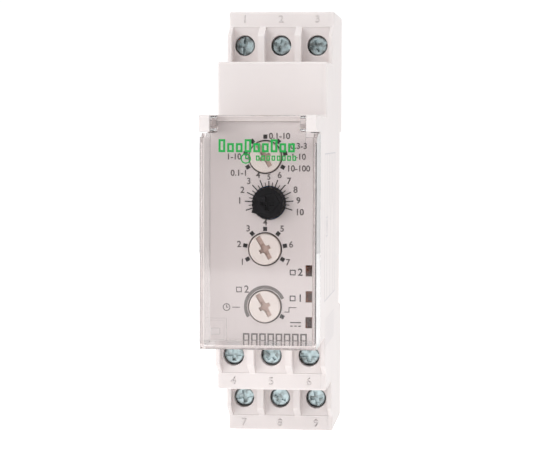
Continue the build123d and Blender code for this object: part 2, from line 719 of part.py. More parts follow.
def dropper_capacitor():
    """A boxed film capacitor."""
    box = block(on_main_board(FILM_HEIGHT), FILM_Y, FILM_Z)
    return fillet(box.edges(), FILM_ROUND)


def varistor():
    """A surge disc on its two legs."""
    disc = rod("y", DISC_RADIUS, DISC_Y, *DISC_XZ)
    disc = fillet(disc.edges().filter_by(GeomType.CIRCLE), DISC_ROUND)
    for z in DISC_LEGS_Z:
        disc += rod("x", DISC_LEG_RADIUS, (MAIN_FACE_X, DISC_XZ[0]), sum(DISC_Y) / 2, z)
    return disc


def transformer():
    """The small supply transformer: ferrite frame round a wound bobbin."""
    x = on_main_board(CORE_HEIGHT)
    between_bars = (x[0] + CORE_BAR, x[1] - CORE_BAR)
    frame = block(x, CORE_Y, CORE_Z)
    window = (CORE_Z[0] + CORE_LIMB, CORE_Z[1] - CORE_LIMB)
    frame -= block(between_bars, (CORE_Y[0] - 1, CORE_Y[1] + 1), window)
    return frame + rod("x", WINDING_RADIUS, between_bars, sum(CORE_Y) / 2, sum(CORE_Z) / 2)


# ---- relays ----

def relay_block(name, along, height, across):
    """A box in a relay: along its length, above the board, and across it."""
    return block(
        (MAIN_FACE_X + height[0], MAIN_FACE_X + height[1]),
        (RELAY_Y[name] + across[0], RELAY_Y[name] + across[1]),
        (RELAY_LOW_Z + along[0], RELAY_LOW_Z + along[1]),
    )


def relay_rod(name, radius, along, height):
    """A round bar along a relay, at a height above the board."""
    reach = (RELAY_LOW_Z + along[0], RELAY_LOW_Z + along[1])
    return rod("z", radius, reach, MAIN_FACE_X + height, RELAY_Y[name])


def relay_case(name):
    """The case, open towards the board."""
    half = RELAY_WIDTH / 2
    wall = RELAY_CASE_WALL
    case = relay_block(name, (0, RELAY_LENGTH), (0, RELAY_HEIGHT), (-half, half))
    case = fillet(case.faces().sort_by(Axis.X)[-1].edges(), CASE_ROUND)
    inside = relay_block(name, (wall, RELAY_LENGTH - wall), (-1, RELAY_HEIGHT - wall), (wall - half, half - wall))
    return case - inside


def relay_base(name):
    """The base that carries the coil and the contacts."""
    inset = RELAY_CASE_WALL + 0.05
    half = RELAY_WIDTH / 2 - inset
    return relay_block(name, (inset, RELAY_LENGTH - inset), (0, BASE_THICK), (-half, half))


def relay_coil(name):
    """Bobbin and winding round the core."""
    start, end = COIL_ALONG
    winding = relay_rod(name, COIL_RADIUS, COIL_ALONG, COIL_HEIGHT)
    for flange in (start - FLANGE_THICK, end):
        along = (flange, flange + FLANGE_THICK)
        winding += relay_block(name, along, FLANGE_RISE, (-FLANGE_HALF, FLANGE_HALF))
    return winding - relay_rod(name, CORE_RADIUS + 0.05, (start - 1, end + 1), COIL_HEIGHT)


def relay_yoke(name):
    """Steel frame, core and pole face."""
    across = (-YOKE_HALF, YOKE_HALF)
    end = YOKE_ALONG[1] - YOKE_THICK
    frame = relay_block(name, (end, YOKE_ALONG[1]), YOKE_RISE, across)
    frame += relay_block(name, YOKE_ALONG, (YOKE_RISE[1] - YOKE_THICK, YOKE_RISE[1]), across)
    frame += relay_rod(name, CORE_RADIUS, (POLE_ALONG[1] - 0.1, end + 0.1), COIL_HEIGHT)
    return frame + relay_rod(name, POLE_RADIUS, POLE_ALONG, COIL_HEIGHT)


def relay_armature(name):
    """The plate that the core pulls in, rocking on a round bead against the end of the yoke."""
    half = ARMATURE_HALF
    plate = relay_block(name, ARMATURE_ALONG, (ARMATURE_FOOT, ARMATURE_PIVOT_H), (-half, half))
    across = (RELAY_Y[name] - half, RELAY_Y[name] + half)
    bead_x = MAIN_FACE_X + ARMATURE_PIVOT_H
    return plate + rod("y", ARMATURE_BEAD, across, bead_x, RELAY_LOW_Z + ARMATURE_PIVOT_A)


def relay_leaf(name):
    """The moving contact leaf, carried by a pusher card on the armature."""
    leaf = relay_block(name, LEAF_ALONG, LEAF_RISE, (-LEAF_HALF, LEAF_HALF))
    card = relay_block(name, (LEAF_ALONG[1], ARMATURE_ALONG[0]), CARD_RISE, (-CARD_HALF, CARD_HALF))
    return leaf + card + relay_rod(name, CONTACT_RADIUS, LEAF_CONTACT, CONTACT_HEIGHT)


def relay_contacts(name):
    """The two fixed contacts, each side of the leaf."""
    contacts = [
        relay_block(name, strip, STRIP_RISE, (-STRIP_HALF, STRIP_HALF))
        + relay_rod(name, CONTACT_RADIUS, tip, CONTACT_HEIGHT)
        for strip, tip in FIXED_CONTACTS
    ]
    return Compound(children=contacts)


# ---- terminals ----

def terminal_screw(row, x, turn):
    """A clamp screw with a combined slot and cross head."""
    front = row.strip_y + HEAD_DROP
    head = rod("y", HEAD_RADIUS, (front, front + HEAD_THICK), x, row.axis_z)
    rim = head.edges().filter_by(GeomType.CIRCLE).sort_by(Axis.Y)[0]
    head = fillet(rim, HEAD_ROUND)
    shank = rod("y", SHANK_RADIUS, (front + HEAD_THICK - 0.1, row.strip_y + BAR_FRONT - 0.05), x, row.axis_z)
    slot_width, slot_depth = SCREW_SLOT
    width, length, depth = SCREW_CROSS
    slot = Box(2 * HEAD_RADIUS + 1, slot_width, 2 * slot_depth)
    cross = Box(length, width, 2 * depth) + Box(width, length, 2 * depth)
    recess = Pos(x, front, row.axis_z) * Rot(90, 0, 0) * Rot(0, 0, turn) * (slot + cross)
    return head + shank - recess


def wire_clamp(row, x):
    """The cage that the screw draws forward to hold a wire against the contact bar."""
    s = row.strip_y
    front = s + CLAMP_FRONT
    z = (row.axis_z - CLAMP_HALF_Z, row.axis_z + CLAMP_HALF_Z)
    cage = block((x - CLAMP_HALF_X, x + CLAMP_HALF_X), (front, s + CLAMP_REAR + CLAMP_REAR_THICK), z)
    long_edges = cage.edges().filter_by(Axis.Z)
    cage = fillet(long_edges, CLAMP_ROUND)
    inner = CLAMP_HALF_X - CLAMP_SIDE
    cage -= block((x - inner, x + inner), (front + CLAMP_FRONT_THICK, s + CLAMP_REAR), (z[0] - 1, z[1] + 1))
    hole = SHANK_RADIUS + THREAD_CLEARANCE
    return cage - rod("y", hole, (front - 1, front + CLAMP_FRONT_THICK + 0.2), x, row.axis_z)


def contact_bar(row, x, index):
    """The fixed bar that a wire is held against, and its strap to the main board."""
    y = (row.strip_y + BAR_FRONT, row.strip_y + BAR_FRONT + BAR_THICK)
    side = row.side
    neck = row.axis_z - side * BAR_NECK
    bar = block((x - BAR_HALF_X, x + BAR_HALF_X), y, (row.axis_z + side * BAR_OUT, neck))
    tab_x = (max(x - TAB_HALF_X, MAIN_FACE_X), max(x + TAB_HALF_X, MAIN_FACE_X + 2 * TAB_HALF_X))
    end = neck - side * (STRAP_START + STRAP_STEP * index)
    bar += block(tab_x, y, (neck + side * 0.2, end))
    return bar + block((MAIN_FACE_X, tab_x[1]), y, (end, end + side * STRAP_WIDTH))


def contact_bars(row):
    """The three contact bars of a row."""
    return Compound(children=[contact_bar(row, x, index) for index, x in enumerate(columns())])


# ---- rail latch ----

def rail_latch():
    """The sliding foot that grips the rail's lower edge."""
    x = (-LATCH_HALF_X, LATCH_HALF_X)
    points = [
        (LATCH_FRONT_Y, LATCH_BOTTOM),
        (LATCH_REAR_Y, LATCH_BOTTOM),
        (LATCH_REAR_Y, -LIP_REACH - LIP_SLOPE[1]),
        (LATCH_REAR_Y - LIP_SLOPE[0], -LIP_REACH),
        (LATCH_FRONT_Y, -LIP_REACH),
    ]
    foot = profile_plate(points, x)
    foot -= block((-WINDOW_HALF, WINDOW_HALF), (0, REAR_Y), (WINDOW_BOTTOM, WINDOW_TOP))
    tool = (LATCH_BOTTOM + TOOL_RISE[0], LATCH_BOTTOM + TOOL_RISE[1])
    return foot - block((-TOOL_HALF, TOOL_HALF), (0, REAR_Y), tool)


def latch_spring():
    """The coil that pushes the latch up against the rail."""
    length = WINDOW_TOP - POST_TOP - 0.1
    inset = SPRING_WIRE
    rise = length - 2 * inset
    path = Helix(pitch=rise / SPRING_TURNS, height=rise, radius=SPRING_COIL)
    start = Plane(origin=path @ 0, z_dir=path % 0)
    coil = sweep(start * Circle(SPRING_WIRE), path=path)
    middle_y = (LATCH_FRONT_Y + LATCH_REAR_Y) / 2
    return Pos(0, middle_y, POST_TOP + inset + 0.05) * coil


def build():
    """Make every sub-part and write it."""
    os.makedirs("parts", exist_ok=True)
    write("main_housing", main_housing())
    write("side_cover", side_cover())
    write("front_cover", front_cover())
    write("faceplate", faceplate())
    places = knob_places()
    for name in ("range", "function", "output"):
        write(f"{name}_knob", selector_knob(*places[name]))
    write("time_knob", time_knob())
    write("selector_switches", selector_switches())
    write("time_potentiometer", switch_body(*places["time"]))
    write("light_guides", light_guides())
    write("lamps", lamps())
    write("control_board", control_board())
    write("main_board", main_board())
    write("board_header", board_header())
    write("microcontroller", microcontroller())
    write("chip_resistors", chip_resistors())
    write("smoothing_capacitor", smoothing_capacitor())
    write("dropper_capacitor", dropper_capacitor())
    write("varistor", varistor())
    write("transformer", transformer())
    for name in RELAY_Y:
        write(f"relay_{name}_case", relay_case(name))
        write(f"relay_{name}_base", relay_base(name))
        write(f"relay_{name}_coil", relay_coil(name))
        write(f"relay_{name}_yoke", relay_yoke(name))
        write(f"relay_{name}_armature", relay_armature(name))
        write(f"relay_{name}_leaf", relay_leaf(name))
        write(f"relay_{name}_contacts", relay_contacts(name))
    for row in ROWS:
        write(f"{row.name}_contact_bars", contact_bars(row))
        for index, x in enumerate(columns()):
            number = index + 1
            write(f"{row.name}_screw_{number}", terminal_screw(row, x, row.turns[index]))
            write(f"{row.name}_clamp_{number}", wire_clamp(row, x))
    write("rail_latch", rail_latch())
    write("latch_spring", latch_spring())


build()
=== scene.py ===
"""Looks for the rail-mounted timing relay: printed scales, mouldings, clear cover, metal and light.

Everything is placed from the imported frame, in metres: front is -Y, up is +Z, the rail seat is Y = 0.
"""

import json
import math

import bmesh
import bpy
from mathutils import Matrix, Vector


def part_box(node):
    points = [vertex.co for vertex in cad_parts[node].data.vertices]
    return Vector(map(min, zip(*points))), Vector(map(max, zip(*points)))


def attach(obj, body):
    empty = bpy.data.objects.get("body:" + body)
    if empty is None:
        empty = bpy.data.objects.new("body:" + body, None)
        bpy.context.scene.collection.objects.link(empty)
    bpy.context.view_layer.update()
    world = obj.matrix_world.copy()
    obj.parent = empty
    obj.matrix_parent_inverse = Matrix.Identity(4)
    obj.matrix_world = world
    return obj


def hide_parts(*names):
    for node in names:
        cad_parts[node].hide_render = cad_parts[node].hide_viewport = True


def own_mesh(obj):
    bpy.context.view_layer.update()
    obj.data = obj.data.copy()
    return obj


MM = 0.001

# ---- the frame ----

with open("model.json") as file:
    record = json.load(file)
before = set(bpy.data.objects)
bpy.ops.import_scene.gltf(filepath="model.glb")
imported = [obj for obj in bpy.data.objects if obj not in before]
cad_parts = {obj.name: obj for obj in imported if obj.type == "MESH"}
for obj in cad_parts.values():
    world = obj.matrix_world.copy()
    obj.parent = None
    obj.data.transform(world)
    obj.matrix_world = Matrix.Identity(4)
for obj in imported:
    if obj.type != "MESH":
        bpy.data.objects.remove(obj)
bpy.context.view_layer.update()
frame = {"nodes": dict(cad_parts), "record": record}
nodes = frame["nodes"]


def middle(node):
    """Centre of a node's box."""
    low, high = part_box(node)
    return (low + high) / 2


FACE_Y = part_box("faceplate")[0].y
KNOB_FACE_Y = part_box("range_knob")[0].y
KNOB_RADIUS = (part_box("range_knob")[1].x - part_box("range_knob")[0].x) / 2
COVER_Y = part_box("front_cover")[0].y
SIDE_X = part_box("side_cover")[1].x
BOTTOM_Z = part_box("main_housing")[0].z
STRIP_TO_HEAD = 1.6 * MM        # a screw head lies this far behind its marking strip
LAMP_HEIGHT = 2.15 * MM


# ---- camera ----

LENS = 131.4                    # millimetres, as the sensor
SENSOR_WIDTH = 36.0
NEAREST, FARTHEST = 0.01, 20.0  # how near and far it sees
CAMERA_PLACE = (40.47 * MM, -441.26 * MM, 19.14 * MM)
CAMERA_TURN = 5.81              # degrees about the upright
CAMERA_DROP = 2.68              # degrees below level
CAMERA_ROLL = 0.16              # degrees about the line of sight


def add_camera():
    """The camera, a little above and to the right of the object."""
    data = bpy.data.cameras.new("camera")
    data.lens = LENS
    data.sensor_width = SENSOR_WIDTH
    data.clip_start = NEAREST
    data.clip_end = FARTHEST
    camera = bpy.data.objects.new("camera", data)
    turn = Matrix.Rotation(math.radians(CAMERA_TURN), 4, "Z")
    tilt = Matrix.Rotation(math.radians(90 - CAMERA_DROP), 4, "X")
    roll = Matrix.Rotation(math.radians(CAMERA_ROLL), 4, "Z")
    camera.matrix_world = Matrix.Translation(CAMERA_PLACE) @ turn @ tilt @ roll
    bpy.context.scene.collection.objects.link(camera)
    bpy.context.scene.camera = camera


add_camera()


# ---- materials ----

MOTTLE_LOW, MOTTLE_HIGH = 0.3, 0.7      # noise levels where a mottled colour is darkest and lightest
COLOUR_A, COLOUR_B, MIXED = 6, 7, 2     # where colours enter and leave a mix
SCATTER_REACH = 0.8 * MM                # how far light spreads inside the plastic
SCATTER = (1.0, 0.9, 0.8)               # and each colour's share of it


def scaled(colour, factor):
    """A colour times a factor."""
    return tuple(min(1.0, channel * factor) for channel in colour)


def mix_shaders(tree, share, first, second):
    """The first shader where share is 0, and the second where it is 1."""
    mix = tree.nodes.new("ShaderNodeMixShader")
    tree.links.new(share, mix.inputs["Fac"])
    tree.links.new(first, mix.inputs[1])
    tree.links.new(second, mix.inputs[2])
    return mix.outputs["Shader"]


class Shader:
    """A small helper round one material's node tree."""

    def __init__(self, name):
        self.material = bpy.data.materials.new(name)
        self.material.use_nodes = True
        self.tree = self.material.node_tree
        self.surface = self.tree.nodes["Principled BSDF"]
        self.output = self.tree.nodes["Material Output"]

    def add(self, kind, **values):
        """A node, with its sockets or settings set by name."""
        node = self.tree.nodes.new(kind)
        for key, value in values.items():
            name = key.replace("_", " ")
            if name in node.inputs:
                node.inputs[name].default_value = value
            else:
                setattr(node, key, value)
        return node

    def join(self, source, target):
        """Link an output socket to an input socket."""
        self.tree.links.new(source, target)

    def set(self, **values):
        """Set sockets of the main shader."""
        for key, value in values.items():
            self.surface.inputs[key.replace("_", " ")].default_value = value

    def feed(self, **sources):
        """Link outputs to sockets of the main shader."""
        for key, source in sources.items():
            self.join(source, self.surface.inputs[key.replace("_", " ")])

    def place(self):
        """Object coordinates, in metres."""
        return self.add("ShaderNodeTexCoord").outputs["Object"]

    def noise(self, scale, detail=3.0, rough=0.5, stretch=(1, 1, 1)):
        """Noise over object coordinates, with scale cycles to a metre."""
        mapping = self.add("ShaderNodeMapping")
        mapping.inputs["Scale"].default_value = stretch
        self.join(self.place(), mapping.inputs["Vector"])
        noise = self.add("ShaderNodeTexNoise", Scale=scale, Detail=detail, Roughness=rough)
        self.join(mapping.outputs["Vector"], noise.inputs["Vector"])
        return noise.outputs["Fac"]

    def ramp(self, source, stops):
        """A colour ramp fed by source; stops are (position, colour) pairs."""
        node = self.add("ShaderNodeValToRGB")
        self.join(source, node.inputs["Fac"])
        elements = node.color_ramp.elements
        for element, (position, colour) in zip(elements, (stops[0], stops[-1])):
            element.position = position
            element.color = (*colour, 1)
        for position, colour in stops[1:-1]:
            elements.new(position).color = (*colour, 1)
        return node.outputs["Color"]

    def mottle(self, source, colour, dark, light):
        """A colour that drifts between dark and light times itself."""
        return self.ramp(source, [(MOTTLE_LOW, scaled(colour, dark)), (MOTTLE_HIGH, scaled(colour, light))])

    def spread(self, source, low, high):
        """Map a 0 to 1 value to low to high."""
        node = self.add("ShaderNodeMapRange", To_Min=low, To_Max=high)
        self.join(source, node.inputs["Value"])
        return node.outputs["Result"]

    def bump(self, source, height, strength=1.0, under=None):
        """Raise the surface by height metres where source is 1."""
        node = self.add("ShaderNodeBump", Strength=strength, Distance=height)
        self.join(source, node.inputs["Height"])
        if under is not None:
            self.join(under, node.inputs["Normal"])
        return node.outputs["Normal"]

    def fade(self, tint, axis, start, end, colour):
        """Turn a tint into another colour between two places along an axis, to paint shading."""
        split = self.add("ShaderNodeSeparateXYZ")
        self.join(self.place(), split.inputs["Vector"])
        share = self.add("ShaderNodeMapRange", From_Min=start, From_Max=end)
        self.join(split.outputs[axis], share.inputs["Value"])
        mix = self.add("ShaderNodeMix", data_type="RGBA")
        self.join(share.outputs["Result"], mix.inputs["Factor"])
        self.join(tint, mix.inputs[COLOUR_A])
        mix.inputs[COLOUR_B].default_value = (*colour, 1)
        return mix.outputs[MIXED]


def moulded_plastic(
    name, colour, rough=0.5, grain=0.004, grain_scale=5200, subsurface=0.0, shine=0.5, fade=None
):
    """Moulded plastic: spark-eroded grain, slow colour drift, uneven gloss and softened edges, with painted
    shading along an axis where given.
    """
    shader = Shader(name)
    tint = shader.mottle(shader.noise(scale=60, detail=4), colour, dark=0.975, light=1.02)
    # painted shading along an axis, where given
    if fade:
        tint = shader.fade(tint, *fade)
    gloss = shader.noise(scale=420, detail=5)
    fine = shader.noise(grain_scale, detail=2)
    swell = shader.noise(scale=190, detail=2)
    edges = shader.add("ShaderNodeBevel", samples=4, Radius=0.12 * MM)
    soft = shader.bump(swell, height=0.02 * MM, strength=0.35, under=edges.outputs["Normal"])
    shader.feed(
        Base_Color=tint,
        Roughness=shader.spread(gloss, low=rough - 0.06, high=rough + 0.07),
        Normal=shader.bump(fine, height=grain * MM, under=soft),
    )
    shader.set(Specular_IOR_Level=shine)
    if subsurface:
        shader.set(Subsurface_Weight=subsurface, Subsurface_Scale=SCATTER_REACH, Subsurface_Radius=SCATTER)
    return shader.material


def clear_plastic(name, tint, rough=0.04):
    """Clear moulded plastic with faint flow ripples; it shades what lies behind it only by its tint."""
    shader = Shader(name)
    shader.set(Base_Color=(*tint, 1), Transmission_Weight=1.0, IOR=1.49)
    gloss = shader.noise(scale=300, detail=4)
    ripple = shader.noise(scale=90, detail=1)
    shader.feed(
        Roughness=shader.spread(gloss, low=rough * 0.6, high=rough * 1.5),
        Normal=shader.bump(ripple, height=0.01 * MM, strength=0.15),
    )
    clear = shader.add("ShaderNodeBsdfTransparent", Color=(*tint, 1))
    shadow = shader.add("ShaderNodeLightPath").outputs["Is Shadow Ray"]
    both = mix_shaders(shader.tree, shadow, shader.surface.outputs["BSDF"], clear.outputs["BSDF"])
    shader.join(both, shader.output.inputs["Surface"])
    return shader.material


def turned_zinc(name, tint, dark):
    """Bright zinc plate: blue-green passivation bloom, fine scratches and stains."""
    shader = Shader(name)
    bloom = shader.noise(scale=700, detail=3)
    stain = shader.noise(scale=2300, detail=4, rough=0.65)
    scratch = shader.noise(scale=9000, detail=2, stretch=(1, 1, 0.08))
    shader.feed(
        Base_Color=shader.ramp(bloom, [(0.34, dark), (0.5, tint), (0.68, scaled(tint, 1.25))]),
        Roughness=shader.spread(stain, low=0.22, high=0.5),
        Normal=shader.bump(scratch, height=0.006 * MM, strength=0.6),
    )
    shader.set(Metallic=1.0)
    return shader.material


def plated_metal(name, colour, rough=0.3):
    """Stamped and plated sheet, with rolling marks."""
    shader = Shader(name)
    patches = shader.noise(scale=500, detail=4)
    rolled = shader.noise(scale=4000, detail=2, stretch=(1, 0.05, 1))
    shader.feed(
        Base_Color=shader.mottle(patches, colour, dark=0.85, light=1.1),
        Roughness=shader.spread(patches, low=rough - 0.08, high=rough + 0.12),
        Normal=shader.bump(rolled, height=0.003 * MM, strength=0.5),
    )
    shader.set(Metallic=1.0)
    return shader.material


def board_material(name):
    """Solder-masked board with tracks under the mask."""
    shader = Shader(name)
    tracks = shader.add(
        "ShaderNodeTexBrick",
        Scale=140.0,
        Mortar_Size=0.012,
        Color1=(0.012, 0.12, 0.04, 1),
        Color2=(0.016, 0.15, 0.05, 1),
        Mortar=(0.03, 0.24, 0.08, 1),
    )
    shader.join(shader.place(), tracks.inputs["Vector"])
    weave = shader.noise(scale=3000, detail=2)
    shader.feed(
        Base_Color=tracks.outputs["Color"],
        Roughness=shader.spread(weave, low=0.25, high=0.4),
        Normal=shader.bump(weave, height=0.004 * MM, strength=0.5),
    )
    return shader.material


def winding_material(name):
    """Enamelled copper wire wound round a coil."""
    shader = Shader(name)
    wires = shader.add("ShaderNodeTexWave", bands_direction="Z", Scale=2600.0, Distortion=0.4)
    shader.join(shader.place(), wires.inputs["Vector"])
    shader.feed(
        Base_Color=shader.ramp(wires.outputs["Fac"], [(0.0, (0.20, 0.06, 0.02)), (1.0, (0.72, 0.30, 0.12))]),
        Normal=shader.bump(wires.outputs["Fac"], height=0.03 * MM, strength=0.8),
    )
    shader.set(Metallic=0.85, Roughness=0.3)
    return shader.material


def lamp_window_material(name):
    """Dark amber light guide with the lamp's pocket showing inside."""
    shader = Shader(name)
    depth = shader.noise(scale=900, detail=3, stretch=(1, 1, 0.6))
    deep, amber, pocket = (0.025, 0.006, 0.003), (0.055, 0.014, 0.005), (0.24, 0.06, 0.01)
    shader.feed(
        Base_Color=shader.ramp(depth, [(0.35, deep), (0.52, amber), (0.7, pocket)]),
        Roughness=shader.spread(depth, low=0.12, high=0.3),
    )
    shader.set(Specular_IOR_Level=0.25)
    return shader.material


def ink_material(name, colour, rough=0.55):
    """Pad-printed ink, a little uneven in cover."""
    shader = Shader(name)
    cover = shader.noise(scale=2600, detail=4)
    shader.feed(
        Base_Color=shader.mottle(cover, colour, dark=0.85, light=1.12),
        Normal=shader.bump(cover, height=0.003 * MM, strength=0.4),
    )
    shader.set(Roughness=rough)
    return shader.material


WHITE = (0.80, 0.747, 0.737)
KNOB_WHITE = (0.80, 0.745, 0.71)
KNOB_BLACK = (0.003, 0.003, 0.005)
FACE_GREY = (0.71, 0.67, 0.67)
# the white knobs' slot and cross recesses turn tan and darker behind their face: dirt and painted shade
RECESS_DIRT_AND_SHADE = ("Y", KNOB_FACE_Y + 0.08 * MM, KNOB_FACE_Y + 0.3 * MM, (0.54, 0.41, 0.36))
# the faceplate turns lighter towards its top, where the canopy above shades it: painted light
CANOPY_PAINTED_LIGHT = ("Z", 16.5 * MM, 20.5 * MM, (0.97, 0.94, 0.94))
MATERIALS = {
    "housing": moulded_plastic("housing_plastic", WHITE, rough=0.52, subsurface=0.12),
    "clear_cover": clear_plastic("cover_plastic", (0.93, 0.905, 0.90)),
    "faceplate": moulded_plastic("faceplate_plastic", FACE_GREY, grain=0.003, fade=CANOPY_PAINTED_LIGHT),
    "white_knob": moulded_plastic(
        "knob_white_plastic", KNOB_WHITE, rough=0.4, grain=0.002, fade=RECESS_DIRT_AND_SHADE
    ),
    "black_knob": moulded_plastic("knob_black_plastic", KNOB_BLACK, rough=0.42, grain=0.006, shine=0.12),
    "switch_black": moulded_plastic("switch_plastic", (0.015, 0.015, 0.016), rough=0.45),
    "switch_blue": moulded_plastic("trimmer_plastic", (0.03, 0.12, 0.42), rough=0.4),
    "light_guide": lamp_window_material("light_guide_plastic"),
    "lamp": moulded_plastic("lamp_plastic", (0.80, 0.72, 0.35), rough=0.3),
    "board": board_material("board_laminate"),
    "chip": moulded_plastic("chip_epoxy", (0.02, 0.02, 0.022)),
    "capacitor_sleeve": moulded_plastic("capacitor_sleeve", (0.015, 0.02, 0.07), rough=0.25),
    "film_box": moulded_plastic("film_box_plastic", (0.60, 0.40, 0.05), rough=0.4),
    "varistor_blue": moulded_plastic("varistor_coating", (0.02, 0.09, 0.32), rough=0.3),
    "ferrite": moulded_plastic("ferrite", (0.035, 0.035, 0.037), rough=0.65, grain=0.01, grain_scale=2600),
    "relay_case": moulded_plastic("relay_case_plastic", (0.03, 0.03, 0.034), rough=0.45),
    "copper_coil": winding_material("coil_winding"),
    "relay_steel": plated_metal("relay_steel", (0.58, 0.57, 0.55)),
    "contact_copper": plated_metal("contact_copper", (0.74, 0.46, 0.26), rough=0.28),
    "zinc_screw": turned_zinc("screw_zinc", tint=(0.50, 0.60, 0.62), dark=(0.22, 0.25, 0.25)),
    "zinc_clamp": plated_metal("clamp_zinc", (0.62, 0.65, 0.67), rough=0.28),
    "latch": moulded_plastic("latch_plastic", (0.70, 0.67, 0.64)),
    "spring_steel": plated_metal("spring_steel", (0.50, 0.51, 0.53), rough=0.22),
}
INK = ink_material("scale_ink", (0.13, 0.115, 0.112))
INK_DARK = ink_material("mark_ink", (0.018, 0.016, 0.017))
INK_SOFT = ink_material("band_ink", (0.17, 0.155, 0.15))
INK_PALE = ink_material("side_ink", (0.64, 0.61, 0.63))
# housing plastic made a little darker for the moulded numbers: painted shade for their relief
MARK_PAINTED_SHADE = moulded_plastic("marking_plastic_painted_shade", scaled(WHITE, 0.91))
INK_GREEN = ink_material("cover_ink", (0.006, 0.36, 0.06), rough=0.35)

for entry in frame["record"]["subparts"]:
    mesh = nodes[entry["node"]].data
    mesh.materials.clear()
    mesh.materials.append(MATERIALS[entry["material_slot"]])


# ---- pieces and flat artwork ----

TO_FRONT = Matrix(((1, 0, 0, 0), (0, 0, -1, 0), (0, 1, 0, 0), (0, 0, 0, 1)))
TO_RIGHT = Matrix(((0, 0, 1, 0), (1, 0, 0, 0), (0, 1, 0, 0), (0, 0, 0, 1)))
CORNERS = ((-1, -1), (1, -1), (1, 1), (-1, 1))
ARC_STEPS = 40
SAME_PLACE = 1e-7               # corners nearer than this are one
DIGIT_HEIGHT = 0.7              # of the lettering's size
DIGIT_SWELL = 0.03 * MM         # ink spreads this far round a digit


def add_piece(name, bm, material):
    """One piece from finished geometry, with one material."""
    mesh = bpy.data.meshes.new(name)
    bm.to_mesh(mesh)
    bm.free()
    mesh.materials.append(material)
    piece = bpy.data.objects.new(name, mesh)
    bpy.context.scene.collection.objects.link(piece)
    return piece


def on_circle(x, z, radius, degrees):
    """The point at a distance and an angle from a centre."""
    turn = math.radians(degrees)
    return x + radius * math.cos(turn), z + radius * math.sin(turn)


class Artwork:
    """Thin raised shapes on a flat face, gathered into one mesh.

    Shapes are drawn in the plane's own right and up directions, and rise along its outward normal.
    The level is the face's own coordinate: Y on a front face, X on a right-hand one.
    """

    def __init__(self, name, level, thick, material, body, slot, facing=TO_FRONT):
        self.name = name
        self.facing = facing
        self.normal = facing @ Vector((0, 0, 1))
        self.level = Vector([abs(share) * level for share in self.normal])
        self.thick = thick
        self.material = material
        self.body = body
        self.slot = slot
        self.mesh = bmesh.new()

    def outline(self, points):
        """A closed flat shape from (right, up) points."""
        corners = [self.mesh.verts.new(self.level + self.facing @ Vector((x, z, 0))) for x, z in points]
        self.mesh.faces.new(corners)

    def frame(self, x, z, width, height, stroke):
        """The outline of a rectangle."""
        for side in (-1, 1):
            self.bar(x + side * (width - stroke) / 2, z, stroke, height)
            self.bar(x, z + side * (height - stroke) / 2, width - 2 * stroke, stroke)

    def frame_row(self, x, z, count, pitch, width, height, stroke):
        """Equal outlined rectangles in a row, from the first one's centre."""
        for index in range(count):
            self.frame(x + index * pitch, z, width, height, stroke)

    def bar(self, x, z, width, height, angle=0.0):
        """A rectangle centred on a point, turned by angle degrees."""
        c, s = math.cos(math.radians(angle)), math.sin(math.radians(angle))
        corners = [(a * width / 2, b * height / 2) for a, b in CORNERS]
        self.outline([(x + a * c - b * s, z + a * s + b * c) for a, b in corners])

    def ray(self, x, z, angle, start, end, width):
        """A straight mark that points away from a centre."""
        self.bar(*on_circle(x, z, (start + end) / 2, angle), end - start, width, angle)

    def arc(self, x, z, inner, outer, start, end):
        """A band of a ring between two angles."""
        angles = [start + (end - start) * index / ARC_STEPS for index in range(ARC_STEPS + 1)]
        for a, b in zip(angles, angles[1:]):
            ring = [(inner, a), (outer, a), (outer, b), (inner, b)]
            self.outline([on_circle(x, z, radius, angle) for radius, angle in ring])

    def text(self, words, x, z, height, align="CENTER"):
        """Digits, centred on a point or set to one side of it."""
        curve = bpy.data.curves.new("words", "FONT")
        curve.body = words
        curve.size = height / DIGIT_HEIGHT
        curve.align_x = align
        curve.align_y = "CENTER"
        curve.offset = DIGIT_SWELL
        holder = bpy.data.objects.new("words", curve)
        bpy.context.scene.collection.objects.link(holder)
        bpy.context.view_layer.update()
        flat = bpy.data.meshes.new_from_object(holder.evaluated_get(bpy.context.evaluated_depsgraph_get()))
        flat.transform(Matrix.Translation(self.level) @ self.facing @ Matrix.Translation((x, z, 0)))
        self.mesh.from_mesh(flat)
        bpy.data.objects.remove(holder)
        bpy.data.curves.remove(curve)
        bpy.data.meshes.remove(flat)

    def finish(self):
        """Give the shapes their thickness, outwards, and make the piece."""
        bm = self.mesh
        bmesh.ops.remove_doubles(bm, verts=bm.verts, dist=SAME_PLACE)
        for face in bm.faces:
            face.normal_update()
            if face.normal.dot(self.normal) < 0:
                face.normal_flip()
        grown = bmesh.ops.extrude_face_region(bm, geom=list(bm.faces))
        raised = [item for item in grown["geom"] if isinstance(item, bmesh.types.BMVert)]
        bmesh.ops.translate(bm, verts=raised, vec=self.normal * self.thick)
        bmesh.ops.recalc_face_normals(bm, faces=bm.faces)
        piece = add_piece(self.name, bm, self.material)
        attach(piece, self.body)


# ---- signs ----

FINE_LINE = 0.17 * MM
LONG_HAND = (0.28, 0.75)        # a clock hand's middle and its length, as shares of the radius
SHORT_HAND = (0.24, 0.5)


def relay_sign(art, x, z, number):
    """A coil sign followed by a number."""
    apart = 0.75 * MM
    art.frame(x - apart, z, width=1.15 * MM, height=1.1 * MM, stroke=0.19 * MM)
    art.text(number, x + apart, z, height=1.4 * MM)


def clock_sign(art, x, z, radius, stroke):
    """A clock face with two hands."""
    art.arc(x, z, radius - stroke, radius, 0, 360)
    long_middle, long_hand = (radius * share for share in LONG_HAND)
    short_middle, short_hand = (radius * share for share in SHORT_HAND)
    art.bar(x, z + long_middle, stroke, long_hand)
    art.bar(x + short_middle, z, short_hand, stroke)


